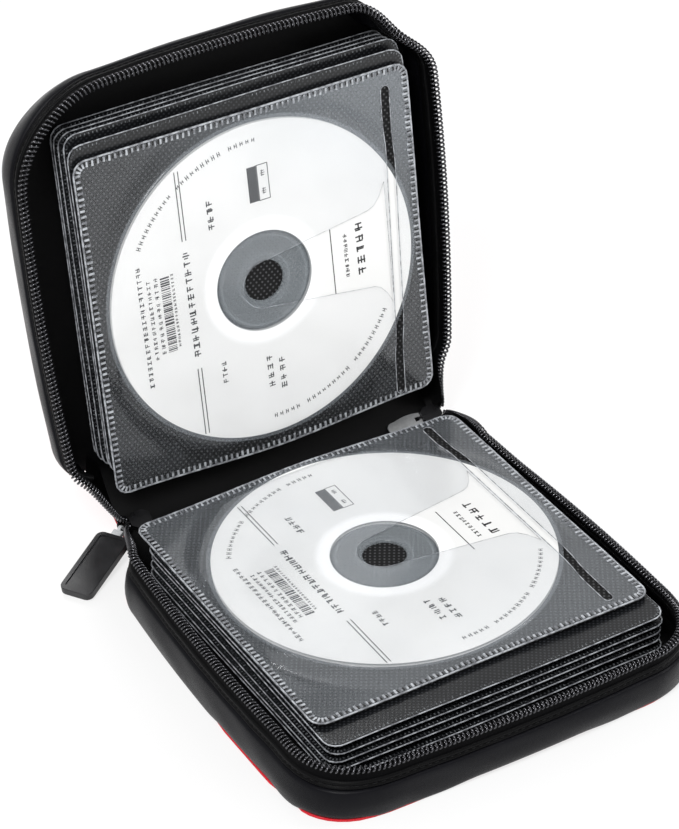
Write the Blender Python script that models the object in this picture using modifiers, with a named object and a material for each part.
"""Square zip wallet for discs, open and standing.

Two shallow halves hang on a bowed spine, like the covers of a book.
Each half is a cover panel with a soft side wall, a bound lip, a zip tape and a row of zip teeth.
Inside each half lie pocket leaves, and the top pocket holds a disc behind a clear film.

Frame: X runs along the spine, Y points from the front edge to the spine, Z is up.
The origin is the middle of the lower cover's flat underside.
A half is drawn in its own frame: x along the spine, d away from its hinge, h up from its cover.
"""

import math

import bmesh
import bpy
from mathutils import Matrix, Vector

# Fits between touching pieces
CLEARANCE = 0.0003
OVERHEAD_CLEARANCE = 0.0007

# Discs
DISC_RADIUS = 0.060
DISC_HOLE_RADIUS = 0.0075
DISC_THICKNESS = 0.0012
DISC_RING_RADIUS = 0.0172
DISC_RING_HEIGHT = 0.00015

# Cloth strip that the leaves are bound to
BINDING_THICKNESS = 0.0018
BINDING_START = 0.0027
BINDING_LENGTH = 0.112

# Pocket leaves: a disc, the room beside it and the welded border
WELD_WIDTH = 0.0026
POCKET_SIDE_ROOM = 0.00135
LEAF_DEPTH_ROOM = 0.0059
LEAF_WIDTH = 2 * (DISC_RADIUS + POCKET_SIDE_ROOM + WELD_WIDTH)
LEAF_DEPTH = 2 * DISC_RADIUS + LEAF_DEPTH_ROOM
LEAF_START = BINDING_START + BINDING_THICKNESS + CLEARANCE
LEAF_CORNER_RADIUS = 0.005
LEAF_THICKNESS = 0.0010
LEAF_COUNT = 5
LEAF_SWELL = 0.0007
LEAF_SWELL_RADIUS = DISC_RADIUS
LEAF_SWELL_EDGE = 0.004
LEAF_STAGGER = 0.0004
BACKING_THICKNESS = 0.0008
FILM_THICKNESS = 0.0004

# Covers: the leaves and the room round them
COVER_SIDE_ROOM = 0.01355
COVER_FRONT_ROOM = 0.0173
COVER_WIDTH = LEAF_WIDTH + 2 * COVER_SIDE_ROOM
COVER_DEPTH = LEAF_START + LEAF_DEPTH + COVER_FRONT_ROOM
COVER_THICKNESS = 0.0010
FRONT_CORNER_RADIUS = 0.032
SPINE_CORNER_RADIUS = 0.014
SPINE_TAPER = 0.003
SHELL_SHIFT_X = -0.001
COVER_HINGE_GAP = 0.00035
EDGE_ROUNDING = 0.0003

# Lining boards inside the covers
LINING_THICKNESS = 0.0012
LINING_HINGE_GAP = 0.0022

# Soft side wall, bound lip, zip tape and zip teeth, from the cover upwards
WALL_THICKNESS = 0.0016
WALL_HEIGHT = 0.0122
WALL_BOW = 0.0015
WALL_WRAP = math.radians(60)
LIP_THICKNESS = 0.0024
LIP_HEIGHT = 0.0027
TAPE_THICKNESS = 0.0008
TAPE_HEIGHT = 0.0031
ZIP_WRAP = math.radians(35)
COIL_WIDTH = 0.0024
COIL_HEIGHT = 0.0020

# How far each half's rim leans out of its cover's outline, at the full height of the rim
LOWER_LEAN_LEFT = -0.0015
LOWER_LEAN_RIGHT = -0.0040
LOWER_LEAN_FRONT = 0.0030
UPPER_LEAN_LEFT = 0.0040
UPPER_LEAN_RIGHT = 0.0005
UPPER_LEAN_FRONT = 0.0020

# Spine between the covers
SPINE_LENGTH = 0.127
SPINE_SHIFT_X = 0.0035
SPINE_BOW = 0.0075
SPINE_COVER_THICKNESS = 0.0007
SPINE_LINING_THICKNESS = 0.0006
SPINE_HINGE_GAP = 0.0004
HINGE_HEIGHT = 0.0012
SPINE_TILT = math.radians(30.8)
UPPER_TILT = math.radians(83.2)

# Top leaves reach over the hinge lines, each as far as it was last turned, with the disc a little loose in it
LOWER_TOP_START = -0.0033
LOWER_LEAF_SHIFT = 0.0
LOWER_DISC_X = -0.0001
LOWER_DISC_FROM_START = DISC_RADIUS + 0.0002
LOWER_FRONT_ROOM = 0.0019
LOWER_TOP_DEPTH = LOWER_DISC_FROM_START + DISC_RADIUS + LOWER_FRONT_ROOM + WELD_WIDTH
UPPER_TOP_START = -0.0025
UPPER_LEAF_SHIFT = 0.0018
UPPER_DISC_X = 0.0006
UPPER_DISC_FROM_START = DISC_RADIUS + 0.0029
UPPER_FRONT_ROOM = 0.0004
UPPER_TOP_DEPTH = UPPER_DISC_FROM_START + DISC_RADIUS + UPPER_FRONT_ROOM + WELD_WIDTH

# Mouth of the film pocket and the curved thumb cut beside it
SLOT_END_ROOM = 0.0044
SLOT_LENGTH = LEAF_DEPTH - 2 * SLOT_END_ROOM
SLOT_WIDTH = 0.0034
SLOT_FROM_EDGE = 0.0124
SLOT_BOW = 0.0008
SLOT_END_STEPS = 4
THUMB_CUT_RADIUS = 0.0095
THUMB_CUT_MOUTH = 0.026
THUMB_CUT_STEPS = 6

# Sliders
LEFT_SLIDER_X = -0.053
RIGHT_SLIDER_X = 0.066
SLIDER_LENGTH = 0.0080
SLIDER_WIDTH = 0.0062
SLIDER_HEIGHT = 0.0024
SLIDER_PLATE = 0.0008
BRIDGE_RADIUS = 0.00095
BRIDGE_WIRE = 0.0004
BRIDGE_REACH = 0.0006

# Wire ring and rubber puller on the left slider
LINK_RADIUS = 0.0019
LINK_WIRE = 0.00035
LINK_TURN = math.radians(35)
PULLER_HEADING = math.radians(32.9)
PULLER_LENGTH = 0.0290
PULLER_WIDTH = 0.0125
PULLER_THICKNESS = 0.0028
PULLER_CORNER = 0.0025
PULLER_RECESS = 0.0004
PULLER_BORDER = 0.0016

# Clip that joins the puller to the ring
CLIP_EYE_RADIUS = 0.0015
CLIP_HOLE_RADIUS = 0.00085
CLIP_EYE_THICKNESS = 0.0012
CLIP_BLOCK_START = 0.0011
CLIP_BLOCK_LENGTH = 0.0024
CLIP_BLOCK_WIDTH = 0.0036
CLIP_BLOCK_THICKNESS = 0.0017
CLIP_TONGUE_LENGTH = 0.0022
CLIP_TONGUE_WIDTH = 0.0024
CLIP_TONGUE_THICKNESS = 0.0010

# Metal tab on the right slider
TAB_LENGTH = 0.0135
TAB_WIDTH = 0.0056
TAB_NECK_WIDTH = 0.0042
TAB_THICKNESS = 0.0006
TAB_BAR = 0.0008
TAB_HOLE_LENGTH = 0.0016
TAB_HOLE_WIDTH = 0.0016

# Fineness of curved outlines
CORNER_STEPS = 8
SIDE_STEPS = 4
LEAF_CORNER_STEPS = 4
DISC_STEPS = 64
SPINE_STEPS = 12
WIRE_STEPS = 8
LINK_STEPS = 20

# Heights in a half, measured up from the cover's outer face
WALL_BASE = COVER_THICKNESS + CLEARANCE
WALL_TOP = WALL_BASE + WALL_HEIGHT
LIP_BASE = WALL_TOP + CLEARANCE
LIP_TOP = LIP_BASE + LIP_HEIGHT
TAPE_BASE = LIP_TOP + CLEARANCE
TAPE_TOP = TAPE_BASE + TAPE_HEIGHT
COIL_BASE = TAPE_TOP + CLEARANCE
RIM_TOP = COIL_BASE + COIL_HEIGHT
LINING_BASE = COVER_THICKNESS + CLEARANCE
LINING_TOP = LINING_BASE + LINING_THICKNESS
FILM_TOP = RIM_TOP
FILM_BASE = FILM_TOP - FILM_THICKNESS
DISC_BASE = FILM_BASE - CLEARANCE - DISC_THICKNESS
BACKING_TOP = DISC_BASE - CLEARANCE
BACKING_BASE = BACKING_TOP - BACKING_THICKNESS
BINDING_TOP = BACKING_BASE - CLEARANCE
MID_HEIGHT = RIM_TOP + OVERHEAD_CLEARANCE

# Places in a half
SHELL_LEFT = SHELL_SHIFT_X - COVER_WIDTH / 2
SHELL_RIGHT = SHELL_SHIFT_X + COVER_WIDTH / 2
SLOT_X = LEAF_WIDTH / 2 - SLOT_FROM_EDGE

# Spine arc: the hinge lines lie on it, a chord apart, and it bows outwards between them
SPINE_CHORD = 2 * (MID_HEIGHT - HINGE_HEIGHT)
SPINE_RADIUS = ((SPINE_CHORD / 2) ** 2 + SPINE_BOW ** 2) / (2 * SPINE_BOW)
SPINE_HALF_ANGLE = math.asin(SPINE_CHORD / 2 / SPINE_RADIUS)
SPINE_CENTRE_HEIGHT = SPINE_RADIUS - SPINE_BOW
SPINE_LINING_RADIUS = SPINE_RADIUS - CLEARANCE / 2 - SPINE_LINING_THICKNESS
HINGE_Y = COVER_DEPTH / 2

# Seat of a slider on the bowed lining, and the pivots of the ring, the puller and the tab
SLIDER_SEAT = (
    SPINE_CENTRE_HEIGHT - math.sqrt(SPINE_LINING_RADIUS ** 2 - (SLIDER_WIDTH / 2) ** 2) + CLEARANCE)
PIVOT_HEIGHT = SLIDER_SEAT + SLIDER_HEIGHT / 2
PIVOT_REACH = SLIDER_LENGTH / 2 + (BRIDGE_REACH + BRIDGE_RADIUS - BRIDGE_WIRE) / 2
PIVOT_TO_EYE = (-LINK_RADIUS * (1 + math.cos(LINK_TURN)), -LINK_RADIUS * math.sin(LINK_TURN), 0.0)
PULLER_START = CLIP_BLOCK_START + CLIP_BLOCK_LENGTH + CLEARANCE
PULLER_END = PULLER_START + PULLER_LENGTH

PARTS = bpy.data.collections.new("disc_wallet")
CUTTERS = bpy.data.collections.new("cutters")


class Half:
    """Where one half stands, which way its depth runs, how its rim leans and where its disc lies."""

    def __init__(self, name, sign, frame, lean, top_leaf, disc_place):
        self.name = name
        self.sign = sign
        self.frame = frame
        self.lean_left, self.lean_right, self.lean_front = lean
        self.top_start, self.top_depth, self.leaf_shift = top_leaf
        self.disc_x = self.leaf_shift + disc_place[0]
        self.disc_d = self.top_start + disc_place[1]

    def lean(self, normal, height):
        """Outward lean of the rim at a height, for a place that faces along normal."""
        along, away = normal
        side = self.lean_left if along < 0 else self.lean_right
        reach = side * along ** 2
        if away > 0:
            reach += self.lean_front * away ** 2
        return reach * height / RIM_TOP

    def lean_in(self, height):
        """How far the rim leans inwards at a height, on the side where it leans in most."""
        most = min(self.lean_left, self.lean_right, self.lean_front, 0.0)
        return -most * height / RIM_TOP

    def point(self, x, d, h):
        """A point of the half in its empty's frame."""
        return Vector((x, self.sign * d, h - HINGE_HEIGHT))


# Scene, materials and small helpers

def clear_scene():
    for old in list(bpy.data.objects):
        bpy.data.objects.remove(old, do_unlink=True)
    scene_root = bpy.context.scene.collection
    scene_root.children.link(PARTS)
    scene_root.children.link(CUTTERS)


def material(name, colour, roughness, metallic=0.0):
    made = bpy.data.materials.new(name)
    made.use_nodes = True
    shader = made.node_tree.nodes["Principled BSDF"]
    shader.inputs["Base Color"].default_value = (*colour, 1.0)
    shader.inputs["Roughness"].default_value = roughness
    shader.inputs["Metallic"].default_value = metallic
    return made


def empty(name, location, tilt=0.0, parent=None):
    marker = bpy.data.objects.new(name, None)
    marker.location = location
    marker.rotation_euler = (tilt, 0.0, 0.0)
    marker.parent = parent
    PARTS.objects.link(marker)
    return marker


def add_object(name, mesh, finish, parent, collection=PARTS):
    made = bpy.data.objects.new(name, mesh)
    if finish is not None:
        mesh.materials.append(finish)
    collection.objects.link(made)
    made.parent = parent
    return made


def mesh_object(name, bm, finish, parent):
    bmesh.ops.recalc_face_normals(bm, faces=bm.faces)
    mesh = bpy.data.meshes.new(name)
    bm.to_mesh(mesh)
    bm.free()
    return add_object(name, mesh, finish, parent)


def bevel(made, width, segments=1, angle=math.radians(40)):
    rounding = made.modifiers.new("edge_rounding", "BEVEL")
    rounding.width = width
    rounding.segments = segments
    rounding.limit_method = "ANGLE"
    rounding.angle_limit = angle


def shade_smooth(made, angle=math.radians(35)):
    made.data.shade_smooth()
    made.data.set_sharp_from_angle(angle=angle)


def boolean(made, cutter, operation):
    step = made.modifiers.new(operation.lower(), "BOOLEAN")
    step.operation = operation
    step.solver = "EXACT"
    step.object = cutter


def as_cutter(made):
    for holder in list(made.users_collection):
        holder.objects.unlink(made)
    CUTTERS.objects.link(made)
    made.hide_render = True
    made.display_type = "WIRE"
    return made


def curve_to_mesh(made, finish, parent):
    """Turn a curve object into a mesh object of the same name, with its caps welded."""
    bpy.context.view_layer.update()
    graph = bpy.context.evaluated_depsgraph_get()
    mesh = bpy.data.meshes.new_from_object(made.evaluated_get(graph))
    name = made.name
    matrix = made.matrix_world.copy()
    bpy.data.objects.remove(made, do_unlink=True)
    bm = bmesh.new()
    bm.from_mesh(mesh)
    bmesh.ops.remove_doubles(bm, verts=bm.verts, dist=0.000001)
    bmesh.ops.recalc_face_normals(bm, faces=bm.faces)
    bm.to_mesh(mesh)
    bm.free()
    mesh.name = name
    mesh.materials.clear()
    result = add_object(name, mesh, finish, None)
    result.matrix_world = matrix
    bpy.context.view_layer.update()
    result.parent = parent
    return result


# Outlines

def rounded_corners(left, right, near, far, near_radius, far_radius, taper):
    """Centres, radii and facing angles of the four corners, from near left round to near right.

    taper is how much nearer to the middle each side ends at the spine.
    """
    return (
        (left + taper + near_radius, near + near_radius, near_radius, -math.pi / 2, -math.pi),
        (left + far_radius, far - far_radius, far_radius, math.pi, math.pi / 2),
        (right - far_radius, far - far_radius, far_radius, math.pi / 2, 0.0),
        (right - taper - near_radius, near + near_radius, near_radius, 0.0, -math.pi / 2),
    )


def rim_path(wrap):
    """Points and facings of a half's outline, from one spine corner round to the other.

    wrap is how far the path turns into each spine corner. The sides bow out a little.
    """
    corners = list(rounded_corners(
        SHELL_LEFT, SHELL_RIGHT, LINING_HINGE_GAP, COVER_DEPTH,
        SPINE_CORNER_RADIUS, FRONT_CORNER_RADIUS, SPINE_TAPER))
    first = corners[0]
    last = corners[3]
    corners[0] = (*first[:3], -math.pi + wrap, -math.pi)
    corners[3] = (*last[:3], 0.0, -wrap)
    path = []
    for index, (cx, cd, radius, start, end) in enumerate(corners):
        for step in range(CORNER_STEPS + 1):
            angle = start + (end - start) * step / CORNER_STEPS
            facing = (math.cos(angle), math.sin(angle))
            path.append((cx + radius * facing[0], cd + radius * facing[1], facing))
        if index == len(corners) - 1:
            break
        nx, nd, next_radius, next_start, _ = corners[index + 1]
        facing = (math.cos(next_start), math.sin(next_start))
        x0, d0, _ = path[-1]
        x1 = nx + next_radius * facing[0]
        d1 = nd + next_radius * facing[1]
        for step in range(1, SIDE_STEPS + 1):
            share = step / (SIDE_STEPS + 1)
            bow = 4 * WALL_BOW * share * (1 - share)
            path.append((
                x0 + (x1 - x0) * share + bow * facing[0],
                d0 + (d1 - d0) * share + bow * facing[1],
                facing))
    return path


def rounded_outline(left, right, near, far, near_radius, far_radius, steps, taper=0.0):
    """Closed outline of a rounded rectangle as plain points."""
    points = []
    corners = rounded_corners(left, right, near, far, near_radius, far_radius, taper)
    for cx, cd, radius, start, end in corners:
        for step in range(steps + 1):
            angle = start + (end - start) * step / steps
            points.append((cx + radius * math.cos(angle), cd + radius * math.sin(angle)))
    return points


# Makers of the common shapes

def sweep(name, half, path, section, finish):
    """Carry a closed section round a path. A section point is an outward reach and a height."""
    bm = bmesh.new()
    rings = []
    for x, d, facing in path:
        ring = []
        for reach, height in section:
            total = reach + half.lean(facing, height)
            ring.append(bm.verts.new(half.point(x + facing[0] * total, d + facing[1] * total, height)))
        rings.append(ring)
    count = len(section)
    for here, there in zip(rings, rings[1:]):
        for k in range(count):
            bm.faces.new((here[k], here[(k + 1) % count], there[(k + 1) % count], there[k]))
    bm.faces.new(rings[0])
    bm.faces.new(rings[-1])
    made = mesh_object(name, bm, finish, half.frame)
    shade_smooth(made)
    return made


def plate(name, loops, thickness, finish, parent):
    """A flat plate from an outline and its holes, as a filled curve, from z = 0 up."""
    outline = bpy.data.curves.new(name, "CURVE")
    outline.dimensions = "2D"
    outline.fill_mode = "BOTH"
    outline.extrude = thickness / 2
    for loop in loops:
        spline = outline.splines.new("POLY")
        spline.points.add(len(loop) - 1)
        for place, (x, y) in zip(spline.points, loop):
            place.co = (x, y, 0.0, 1.0)
        spline.use_cyclic_u = True
    made = bpy.data.objects.new(name, outline)
    PARTS.objects.link(made)
    made = curve_to_mesh(made, finish, None)
    made.data.transform(Matrix.Translation((0.0, 0.0, thickness / 2)))
    made.parent = parent
    return made


def half_plate(name, half, loops, base, thickness, finish):
    """A plate that lies in a half, from height base up."""
    turned = [[(x, half.sign * d) for x, d in loop] for loop in loops]
    made = plate(name, turned, thickness, finish, half.frame)
    made.location = (0.0, 0.0, base - HINGE_HEIGHT)
    return made


def wire(name, points, radius, finish, parent, cyclic=False):
    """A round wire along points, as a bevelled curve."""
    path = bpy.data.curves.new(name, "CURVE")
    path.dimensions = "3D"
    path.bevel_depth = radius
    path.bevel_resolution = 2
    path.use_fill_caps = True
    spline = path.splines.new("POLY")
    spline.points.add(len(points) - 1)
    for place, point in zip(spline.points, points):
        place.co = (*point, 1.0)
    spline.use_cyclic_u = cyclic
    made = bpy.data.objects.new(name, path)
    PARTS.objects.link(made)
    return curve_to_mesh(made, finish, parent)


# Shell of a half

def cover(half, finish):
    loop = rounded_outline(
        SHELL_LEFT, SHELL_RIGHT, COVER_HINGE_GAP, COVER_DEPTH,
        SPINE_CORNER_RADIUS, FRONT_CORNER_RADIUS, CORNER_STEPS, SPINE_TAPER)
    made = half_plate(half.name + "_cover", half, [loop], 0.0, COVER_THICKNESS, finish)
    bevel(made, EDGE_ROUNDING)
    return made


def lining(half, finish):
    inset = WALL_THICKNESS + CLEARANCE + half.lean_in(LINING_TOP)
    loop = rounded_outline(
        SHELL_LEFT + inset, SHELL_RIGHT - inset, LINING_HINGE_GAP + inset, COVER_DEPTH - inset,
        SPINE_CORNER_RADIUS - inset, FRONT_CORNER_RADIUS - inset, CORNER_STEPS, SPINE_TAPER)
    return half_plate(half.name + "_lining", half, [loop], LINING_BASE, LINING_THICKNESS, finish)


def wall(half, finish):
    """Side wall, a little rounded at its foot and its shoulder."""
    foot = WALL_THICKNESS / 3
    section = [
        (-WALL_THICKNESS, WALL_BASE), (-foot, WALL_BASE), (0.0, WALL_BASE + foot),
        (foot, WALL_BASE + WALL_HEIGHT / 2), (0.0, WALL_TOP - foot), (-foot, WALL_TOP),
        (-WALL_THICKNESS, WALL_TOP)]
    return sweep(half.name + "_wall", half, rim_path(WALL_WRAP), section, finish)


def lip(half, finish):
    """Bound edge above the wall, where the wall and the zip tape are sewn together."""
    outer = -WALL_THICKNESS / 4
    inner = outer - LIP_THICKNESS
    soft = LIP_HEIGHT / 4
    section = [
        (inner, LIP_BASE), (outer - soft, LIP_BASE), (outer, LIP_BASE + soft),
        (outer, LIP_TOP - soft), (outer - soft, LIP_TOP), (inner, LIP_TOP)]
    return sweep(half.name + "_lip", half, rim_path(WALL_WRAP), section, finish)


def zip_line():
    """Reach of the middle of the zip tape from the half's outline."""
    return -WALL_THICKNESS / 4 - LIP_THICKNESS / 2


def zip_tape(half, finish):
    middle = zip_line()
    section = [
        (middle - TAPE_THICKNESS / 2, TAPE_BASE), (middle + TAPE_THICKNESS / 2, TAPE_BASE),
        (middle + TAPE_THICKNESS / 2, TAPE_TOP), (middle - TAPE_THICKNESS / 2, TAPE_TOP)]
    return sweep(half.name + "_zip_tape", half, rim_path(ZIP_WRAP), section, finish)


def zip_teeth(half, finish):
    """Zip teeth on their cord, as one strip."""
    middle = zip_line()
    section = [
        (middle - COIL_WIDTH / 2, COIL_BASE), (middle + COIL_WIDTH / 2, COIL_BASE),
        (middle + COIL_WIDTH / 2, COIL_BASE + COIL_HEIGHT * 0.6), (middle, RIM_TOP),
        (middle - COIL_WIDTH / 2, COIL_BASE + COIL_HEIGHT * 0.6)]
    return sweep(half.name + "_zip_teeth", half, rim_path(ZIP_WRAP), section, finish)


# Leaves of a half

def leaf_outline(start, depth, shift, inset=0.0):
    return rounded_outline(
        -LEAF_WIDTH / 2 + inset + shift, LEAF_WIDTH / 2 - inset + shift,
        start + inset, start + depth - inset,
        LEAF_CORNER_RADIUS - inset, LEAF_CORNER_RADIUS - inset, LEAF_CORNER_STEPS)


def border_loop(half):
    """Welded border of the top pocket: its two sides and its front, open towards the spine."""
    corner = LEAF_CORNER_STEPS + 1
    outer = leaf_outline(half.top_start, half.top_depth, half.leaf_shift)[corner:3 * corner]
    inner = leaf_outline(half.top_start, half.top_depth, half.leaf_shift, WELD_WIDTH)[corner:3 * corner]
    near = half.top_start + LEAF_CORNER_RADIUS
    return [
        (outer[0][0], near), *outer, (outer[-1][0], near),
        (inner[-1][0], near), *reversed(inner), (inner[0][0], near)]


def leaf_heights():
    """Middle heights of the leaves under the top one, spread evenly from the lining up."""
    room = BACKING_BASE - CLEARANCE - LINING_TOP - CLEARANCE
    full = LEAF_THICKNESS + 2 * LEAF_SWELL
    pitch = (room - full) / (LEAF_COUNT - 1)
    return [LINING_TOP + CLEARANCE + full / 2 + pitch * k for k in range(LEAF_COUNT)]


def leaf(half, number, height, finish):
    """A double pocket leaf: a flat border, swollen in the middle by the disc room inside."""
    shift = half.leaf_shift + LEAF_STAGGER * math.sin(number * 2.0)
    name = f"{half.name}_leaf_{number}"
    made = half_plate(
        name, half, [leaf_outline(LEAF_START, LEAF_DEPTH, shift)],
        height - LEAF_THICKNESS / 2, LEAF_THICKNESS, finish)
    profile = [
        (LEAF_SWELL_RADIUS - LEAF_SWELL_EDGE, LEAF_SWELL + LEAF_THICKNESS / 2),
        (LEAF_SWELL_RADIUS, 0.0),
        (LEAF_SWELL_RADIUS - LEAF_SWELL_EDGE, -LEAF_SWELL - LEAF_THICKNESS / 2)]
    swell = turned(name + "_swell", profile, CORNER_STEPS * 4, None)
    swell.data.transform(Matrix.Translation(
        (shift, half.sign * (LEAF_START + LEAF_DEPTH / 2), LEAF_THICKNESS / 2)))
    swell.parent = half.frame
    swell.location = made.location
    as_cutter(swell)
    boolean(made, swell, "UNION")
    return made


def turned(name, profile, steps, finish):
    """A solid of revolution about Z. The profile runs down its outer side and closes on the axis."""
    bm = bmesh.new()
    line = [(0.0, profile[0][1]), *profile, (0.0, profile[-1][1])]
    verts = [bm.verts.new((radius, 0.0, height)) for radius, height in line]
    for here, there in zip(verts, verts[1:]):
        bm.edges.new((here, there))
    mesh = bpy.data.meshes.new(name)
    bm.to_mesh(mesh)
    bm.free()
    made = add_object(name, mesh, finish, None)
    spin = made.modifiers.new("turn", "SCREW")
    spin.steps = steps
    spin.render_steps = steps
    spin.use_merge_vertices = True
    spin.merge_threshold = 0.00001
    spin.use_smooth_shade = True
    return bake_modifiers(made, finish)


def bake_modifiers(made, finish):
    """Replace an object's mesh by its evaluated mesh, so that it can be moved and cut."""
    bpy.context.view_layer.update()
    graph = bpy.context.evaluated_depsgraph_get()
    mesh = bpy.data.meshes.new_from_object(made.evaluated_get(graph))
    mesh.name = made.name
    made.modifiers.clear()
    made.data = mesh
    if finish is not None and not mesh.materials:
        mesh.materials.append(finish)
    return made


def top_backing(half, finish):
    made = half_plate(
        half.name + "_top_leaf", half, [leaf_outline(half.top_start, half.top_depth, half.leaf_shift)],
        BACKING_BASE, BACKING_THICKNESS, finish)
    return made


def slot_loop(half):
    """Pocket mouth along the right edge of the film, bowed a little, with round ends."""
    slot_x = SLOT_X + half.leaf_shift
    middle = half.top_start + half.top_depth / 2
    half_length = SLOT_LENGTH / 2 - SLOT_WIDTH / 2
    points = []
    for side in (1, -1):
        for step in range(SIDE_STEPS + 1):
            share = step / SIDE_STEPS
            along = side * half_length * (1 - 2 * share)
            bow = SLOT_BOW * (1 - (along / half_length) ** 2)
            points.append((slot_x + side * SLOT_WIDTH / 2 - bow, middle + along))
        for step in range(1, SLOT_END_STEPS):
            angle = -side * math.pi * step / SLOT_END_STEPS
            points.append((
                slot_x + side * SLOT_WIDTH / 2 * math.cos(angle),
                middle - side * half_length + SLOT_WIDTH / 2 * math.sin(angle)))
    return points


def thumb_cut_loop(half):
    """Curved cut beside the mouth: a wide throat that narrows to a round end past the hub."""
    mouth_x = SLOT_X + half.leaf_shift - SLOT_WIDTH / 2 - SLOT_BOW - WELD_WIDTH / 2
    throat_x = half.disc_x + DISC_RING_RADIUS
    edge = []
    for step in range(THUMB_CUT_STEPS + 1):
        share = step / THUMB_CUT_STEPS
        eased = (1 - math.cos(math.pi * share)) / 2
        reach = THUMB_CUT_MOUTH / 2 + (THUMB_CUT_RADIUS - THUMB_CUT_MOUTH / 2) * eased
        edge.append((mouth_x + (throat_x - mouth_x) * share, reach))
    end = []
    for step in range(1, 2 * THUMB_CUT_STEPS):
        angle = math.pi / 2 + math.pi * step / (2 * THUMB_CUT_STEPS)
        end.append((
            throat_x + (throat_x - half.disc_x + THUMB_CUT_RADIUS) * math.cos(angle),
            half.disc_d + THUMB_CUT_RADIUS * math.sin(angle)))
    return [
        *[(x, half.disc_d + reach) for x, reach in edge], *end,
        *[(x, half.disc_d - reach) for x, reach in reversed(edge)]]


def top_film(half, finish):
    """Clear pocket film, with its welded border standing on the backing round the disc."""
    outer = leaf_outline(half.top_start, half.top_depth, half.leaf_shift)
    name = half.name + "_top_film"
    made = half_plate(
        name, half, [outer, slot_loop(half), thumb_cut_loop(half)], FILM_BASE, FILM_THICKNESS, finish)
    border = half_plate(
        name + "_border", half, [border_loop(half)],
        DISC_BASE, FILM_BASE + FILM_THICKNESS / 2 - DISC_BASE, None)
    as_cutter(border)
    boolean(made, border, "UNION")
    return made


def disc(half, finish):
    """A moulded disc: a thin ring with a raised stacking ring round its hub."""
    bevelled = DISC_THICKNESS / 6
    step = DISC_RING_HEIGHT
    profile = [
        (DISC_HOLE_RADIUS, DISC_THICKNESS), (DISC_RING_RADIUS - 2 * step, DISC_THICKNESS),
        (DISC_RING_RADIUS - step, DISC_THICKNESS - step), (DISC_RING_RADIUS + step, DISC_THICKNESS - step),
        (DISC_RING_RADIUS + 2 * step, DISC_THICKNESS), (DISC_RADIUS - bevelled, DISC_THICKNESS),
        (DISC_RADIUS, DISC_THICKNESS - bevelled), (DISC_RADIUS, bevelled),
        (DISC_RADIUS - bevelled, 0.0), (DISC_HOLE_RADIUS, 0.0)]
    bm = bmesh.new()
    verts = [bm.verts.new((radius, 0.0, height)) for radius, height in profile]
    for here, there in zip(verts, [*verts[1:], verts[0]]):
        bm.edges.new((here, there))
    mesh = bpy.data.meshes.new(half.name + "_disc")
    bm.to_mesh(mesh)
    bm.free()
    made = add_object(half.name + "_disc", mesh, finish, half.frame)
    spin = made.modifiers.new("turn", "SCREW")
    spin.steps = DISC_STEPS
    spin.render_steps = DISC_STEPS
    spin.use_merge_vertices = True
    spin.merge_threshold = 0.00001
    made.location = half.point(half.disc_x, half.disc_d, DISC_BASE)
    return made


def binding(half, finish):
    """Upright cloth strip at the spine end, which the leaves are bound to."""
    height = BINDING_TOP - LINING_TOP - CLEARANCE
    loop = rounded_outline(
        -BINDING_LENGTH / 2, BINDING_LENGTH / 2, BINDING_START, BINDING_START + BINDING_THICKNESS,
        BINDING_THICKNESS / 4, BINDING_THICKNESS / 4, 1)
    return half_plate(half.name + "_binding", half, [loop], LINING_TOP + CLEARANCE, height, finish)


# Spine

def bowed_sheet(name, radius, thickness, gap, finish, frame):
    """A sheet that bows outwards between the hinge lines, solidified inwards from radius."""
    spare = gap / SPINE_RADIUS
    reach = SPINE_HALF_ANGLE - spare
    bm = bmesh.new()
    rows = []
    for step in range(SPINE_STEPS + 1):
        angle = -reach + 2 * reach * step / SPINE_STEPS
        y = SPINE_CHORD / 2 + radius * math.sin(angle)
        z = SPINE_CENTRE_HEIGHT - radius * math.cos(angle)
        ends = (SPINE_SHIFT_X - SPINE_LENGTH / 2, SPINE_SHIFT_X + SPINE_LENGTH / 2)
        rows.append([bm.verts.new((x, y, z)) for x in ends])
    for here, there in zip(rows, rows[1:]):
        bm.faces.new((here[0], there[0], there[1], here[1]))
    mesh = bpy.data.meshes.new(name)
    bm.to_mesh(mesh)
    bm.free()
    made = add_object(name, mesh, finish, frame)
    skin = made.modifiers.new("thickness", "SOLIDIFY")
    skin.thickness = thickness
    skin.offset = -1.0
    skin.use_even_offset = True
    return made


def union(made, extras):
    """Join the extra solids to the made one."""
    for extra in extras:
        as_cutter(extra)
        boolean(made, extra, "UNION")


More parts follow.
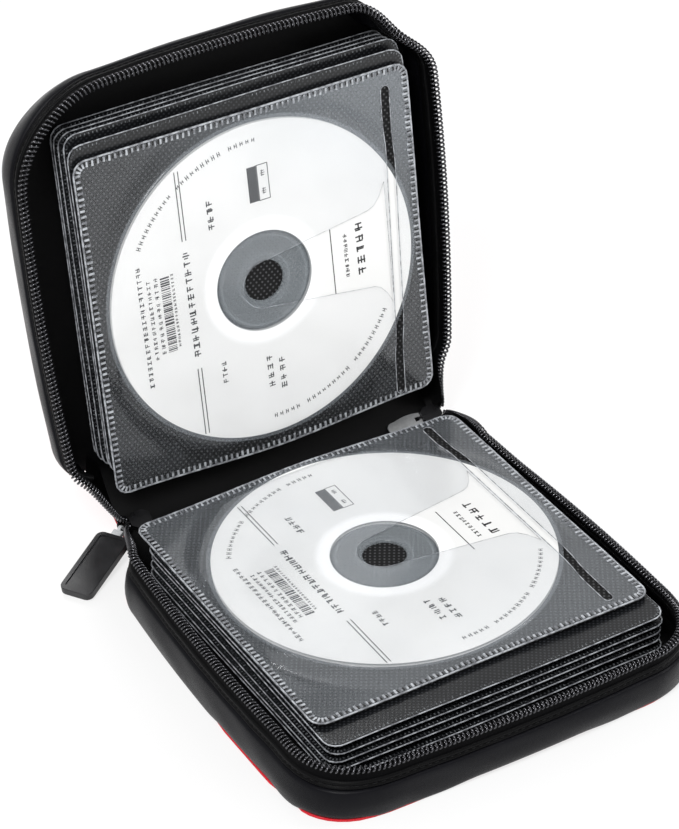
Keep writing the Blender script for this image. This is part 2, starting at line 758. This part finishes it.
def slider(name, centre_x, frame, finish):
    """Zip slider on the spine: two plates on a neck, with a wire bridge at its left end."""
    half_length = SLIDER_LENGTH / 2
    half_width = SLIDER_WIDTH / 2
    outline = [
        (-half_length, -half_width * 0.5), (-half_length * 0.5, -half_width),
        (half_length * 0.5, -half_width), (half_length, -half_width * 0.5),
        (half_length, half_width * 0.5), (half_length * 0.5, half_width),
        (-half_length * 0.5, half_width), (-half_length, half_width * 0.5)]
    base = Vector((centre_x, SPINE_CHORD / 2, SLIDER_SEAT))
    made = plate(name, [outline], SLIDER_PLATE, finish, frame)
    made.location = base
    top = plate(name + "_top", [outline], SLIDER_PLATE, None, frame)
    top.location = base + Vector((0.0, 0.0, SLIDER_HEIGHT - SLIDER_PLATE))
    neck_loop = [(x, y * 0.4) for x, y in outline]
    neck = plate(name + "_neck", [neck_loop], SLIDER_HEIGHT - SLIDER_PLATE, None, frame)
    neck.location = base + Vector((0.0, 0.0, SLIDER_PLATE / 2))
    arch = [(half_length * 0.6, 0.0, BRIDGE_RADIUS)]
    for step in range(WIRE_STEPS + 1):
        angle = math.pi / 2 - math.pi * step / WIRE_STEPS
        arch.append((
            half_length + BRIDGE_REACH + BRIDGE_RADIUS * math.cos(angle), 0.0,
            BRIDGE_RADIUS * math.sin(angle)))
    arch.append((half_length * 0.6, 0.0, -BRIDGE_RADIUS))
    bridge = wire(name + "_bridge", [(-x, y, z) for x, y, z in arch], BRIDGE_WIRE, None, frame)
    bridge.location = base + Vector((0.0, 0.0, SLIDER_HEIGHT / 2))
    union(made, (top, neck, bridge))
    return made


# What hangs on the sliders

def link(frame, finish):
    """Wire ring through the left slider's bridge."""
    bpy.ops.mesh.primitive_torus_add(
        major_radius=LINK_RADIUS, minor_radius=LINK_WIRE, major_segments=LINK_STEPS, minor_segments=WIRE_STEPS)
    made = bpy.context.object
    made.name = "left_link"
    made.data.name = "left_link"
    made.data.materials.append(finish)
    for holder in list(made.users_collection):
        holder.objects.unlink(made)
    PARTS.objects.link(made)
    made.parent = frame
    made.location = (-LINK_RADIUS, 0.0, 0.0)
    shade_smooth(made)
    return made


def box(name, low, high, finish, frame):
    """A box between two corners."""
    bm = bmesh.new()
    bmesh.ops.create_cube(bm, size=1.0)
    size = [b - a for a, b in zip(low, high)]
    middle = [(a + b) / 2 for a, b in zip(low, high)]
    bmesh.ops.scale(bm, vec=size, verts=bm.verts)
    bmesh.ops.translate(bm, vec=middle, verts=bm.verts)
    return mesh_object(name, bm, finish, frame)


def puller(frame, finish):
    """Rubber puller with a blank sunken field, and a slot in its end for the clip's tongue."""
    loop = rounded_outline(
        PULLER_START, PULLER_END, -PULLER_WIDTH / 2, PULLER_WIDTH / 2,
        PULLER_CORNER, PULLER_CORNER, LEAF_CORNER_STEPS)
    made = plate("left_puller", [loop], PULLER_THICKNESS, finish, frame)
    made.location = (0.0, 0.0, -PULLER_THICKNESS / 2)
    bevel(made, PULLER_RECESS)
    inner = PULLER_CORNER - PULLER_BORDER
    field = rounded_outline(
        PULLER_START + PULLER_BORDER, PULLER_END - PULLER_BORDER,
        -PULLER_WIDTH / 2 + PULLER_BORDER, PULLER_WIDTH / 2 - PULLER_BORDER, inner, inner, 2)
    recess = as_cutter(plate("left_puller_field", [field], 2 * PULLER_RECESS, None, frame))
    recess.location = (0.0, 0.0, PULLER_THICKNESS / 2 - PULLER_RECESS)
    boolean(made, recess, "DIFFERENCE")
    slot_width = CLIP_TONGUE_WIDTH / 2 + CLEARANCE
    slot_height = CLIP_TONGUE_THICKNESS / 2 + CLEARANCE
    slot = as_cutter(box(
        "left_puller_slot", (0.0, -slot_width, -slot_height),
        (PULLER_START + CLIP_TONGUE_LENGTH, slot_width, slot_height), None, frame))
    boolean(made, slot, "DIFFERENCE")
    return made


def clip(frame, finish):
    """Clip between ring and puller: an upright eye, a block and a tongue."""
    steps = 2 * WIRE_STEPS
    rim = []
    hole = []
    for step in range(steps):
        angle = 2 * math.pi * step / steps
        rim.append((CLIP_EYE_RADIUS * math.cos(angle), CLIP_EYE_RADIUS * math.sin(angle)))
        hole.append((CLIP_HOLE_RADIUS * math.cos(angle), CLIP_HOLE_RADIUS * math.sin(angle)))
    made = plate("left_clip", [rim, hole], CLIP_EYE_THICKNESS, finish, frame)
    upright = Matrix.Rotation(math.pi / 2, 4, "X") @ Matrix.Translation((0.0, 0.0, -CLIP_EYE_THICKNESS / 2))
    made.data.transform(upright)
    block_end = CLIP_BLOCK_START + CLIP_BLOCK_LENGTH
    block = box(
        "left_clip_block", (CLIP_BLOCK_START, -CLIP_BLOCK_WIDTH / 2, -CLIP_BLOCK_THICKNESS / 2),
        (block_end, CLIP_BLOCK_WIDTH / 2, CLIP_BLOCK_THICKNESS / 2), None, frame)
    tongue = box(
        "left_clip_tongue", (block_end - CLEARANCE, -CLIP_TONGUE_WIDTH / 2, -CLIP_TONGUE_THICKNESS / 2),
        (block_end + CLIP_TONGUE_LENGTH, CLIP_TONGUE_WIDTH / 2, CLIP_TONGUE_THICKNESS / 2), None, frame)
    union(made, (block, tongue))
    return made


def tab(frame, finish):
    """Leaf-shaped metal tab, whose end bar passes through the right slider's bridge."""
    near = TAB_BAR / 2
    runs = 8
    side = []
    for step in range(runs + 1):
        share = step / runs
        swell = math.sin(math.pi * min(share / 0.9, 1.0)) * (TAB_WIDTH - TAB_NECK_WIDTH) / 2
        side.append((near - TAB_LENGTH * share * 0.85, TAB_NECK_WIDTH / 2 + swell))
    tip_x, tip_y = side[-1]
    reach = TAB_LENGTH * 0.15
    tip = [(tip_x - reach * math.sin(angle), tip_y * math.cos(angle)) for angle in
           [math.pi * k / runs for k in range(1, runs)]]
    outline = [*side, *tip, *[(x, -y) for x, y in reversed(side)]]
    hole_near = -near
    hole_far = hole_near - TAB_HOLE_LENGTH
    hole = [
        (hole_near, -TAB_HOLE_WIDTH / 2), (hole_near, TAB_HOLE_WIDTH / 2),
        (hole_far, TAB_HOLE_WIDTH / 2), (hole_far, -TAB_HOLE_WIDTH / 2)]
    made = plate("right_tab", [outline, hole], TAB_THICKNESS, finish, frame)
    made.location = (0.0, 0.0, -TAB_THICKNESS / 2)
    return made


def tab_rest():
    """Angle that lays the tab's free end on the spine lining."""
    lining = SPINE_CENTRE_HEIGHT - math.sqrt(SPINE_LINING_RADIUS ** 2 - (TAB_WIDTH / 2) ** 2)
    drop = PIVOT_HEIGHT - lining - CLEARANCE - TAB_THICKNESS / 2
    return math.asin(drop / TAB_LENGTH)


def puller_frame(link_frame):
    """Empty at the clip's eye, its x down the puller's length and its z out of the puller's face."""
    bpy.context.view_layer.update()
    eye = link_frame.matrix_world @ Vector(PIVOT_TO_EYE)
    drop = eye.z - PULLER_THICKNESS / 2 - CLEARANCE
    slope = math.asin(drop / PULLER_END)
    marker = empty("left_puller_pivot", (0.0, 0.0, 0.0))
    marker.rotation_euler = (0.0, slope, math.pi + PULLER_HEADING)
    marker.location = eye
    return marker


def main():
    clear_scene()
    cloth_red = material("cover_red", (0.55, 0.02, 0.03), 0.55)
    wall_black = material("wall_black", (0.020, 0.021, 0.026), 0.50)
    lip_black = material("lip_black", (0.018, 0.018, 0.020), 0.55)
    tape_black = material("tape_black", (0.012, 0.012, 0.012), 0.85)
    teeth_black = material("teeth_black", (0.015, 0.015, 0.016), 0.30)
    lining_black = material("lining_black", (0.008, 0.008, 0.009), 0.80)
    felt_black = material("felt_black", (0.010, 0.010, 0.011), 0.90)
    film_grey = material("film_grey", (0.10, 0.11, 0.13), 0.25)
    disc_white = material("disc_white", (0.78, 0.78, 0.77), 0.35)
    metal_black = material("metal_black", (0.02, 0.02, 0.02), 0.35, 0.8)
    metal_grey = material("metal_grey", (0.50, 0.52, 0.54), 0.30, 1.0)
    clip_grey = material("clip_grey", (0.62, 0.63, 0.64), 0.40)
    rubber_black = material("rubber_black", (0.016, 0.016, 0.017), 0.60)

    lower_frame = empty("lower_half", (0.0, HINGE_Y, HINGE_HEIGHT))
    spine_frame = empty("spine", (0.0, HINGE_Y, HINGE_HEIGHT), SPINE_TILT)
    upper_frame = empty("upper_half", (0.0, SPINE_CHORD, 0.0), UPPER_TILT - SPINE_TILT, spine_frame)
    lower = Half(
        "lower", -1, lower_frame, (LOWER_LEAN_LEFT, LOWER_LEAN_RIGHT, LOWER_LEAN_FRONT),
        (LOWER_TOP_START, LOWER_TOP_DEPTH, LOWER_LEAF_SHIFT), (LOWER_DISC_X, LOWER_DISC_FROM_START))
    upper = Half(
        "upper", 1, upper_frame, (UPPER_LEAN_LEFT, UPPER_LEAN_RIGHT, UPPER_LEAN_FRONT),
        (UPPER_TOP_START, UPPER_TOP_DEPTH, UPPER_LEAF_SHIFT), (UPPER_DISC_X, UPPER_DISC_FROM_START))

    for half in (lower, upper):
        cover(half, cloth_red)
        lining(half, lining_black)
        wall(half, wall_black)
        lip(half, lip_black)
        zip_tape(half, tape_black)
        zip_teeth(half, teeth_black)
        binding(half, felt_black)
        for number, height in enumerate(leaf_heights(), start=1):
            leaf(half, number, height, film_grey)
        top_backing(half, felt_black)
        disc(half, disc_white)
        top_film(half, film_grey)

    cover_radius = SPINE_RADIUS + CLEARANCE / 2 + SPINE_COVER_THICKNESS
    lining_radius = SPINE_RADIUS - CLEARANCE / 2
    bowed_sheet("spine_cover", cover_radius, SPINE_COVER_THICKNESS, SPINE_HINGE_GAP, cloth_red, spine_frame)
    bowed_sheet("spine_lining", lining_radius, SPINE_LINING_THICKNESS, SPINE_HINGE_GAP, lining_black, spine_frame)
    slider("left_slider", LEFT_SLIDER_X, spine_frame, metal_black)
    slider("right_slider", RIGHT_SLIDER_X, spine_frame, metal_black)

    left_pivot = (LEFT_SLIDER_X - PIVOT_REACH, SPINE_CHORD / 2, PIVOT_HEIGHT)
    right_pivot = (RIGHT_SLIDER_X - PIVOT_REACH, SPINE_CHORD / 2, PIVOT_HEIGHT)
    link_frame = empty("left_link_pivot", left_pivot, 0.0, spine_frame)
    link(link_frame, metal_black)
    hanging = puller_frame(link_frame)
    clip(hanging, clip_grey)
    puller(hanging, rubber_black)
    tab_frame = empty("right_tab_pivot", right_pivot, 0.0, spine_frame)
    tab_frame.rotation_euler = (0.0, -tab_rest(), 0.0)
    tab(tab_frame, metal_grey)
    bpy.context.view_layer.update()


main()
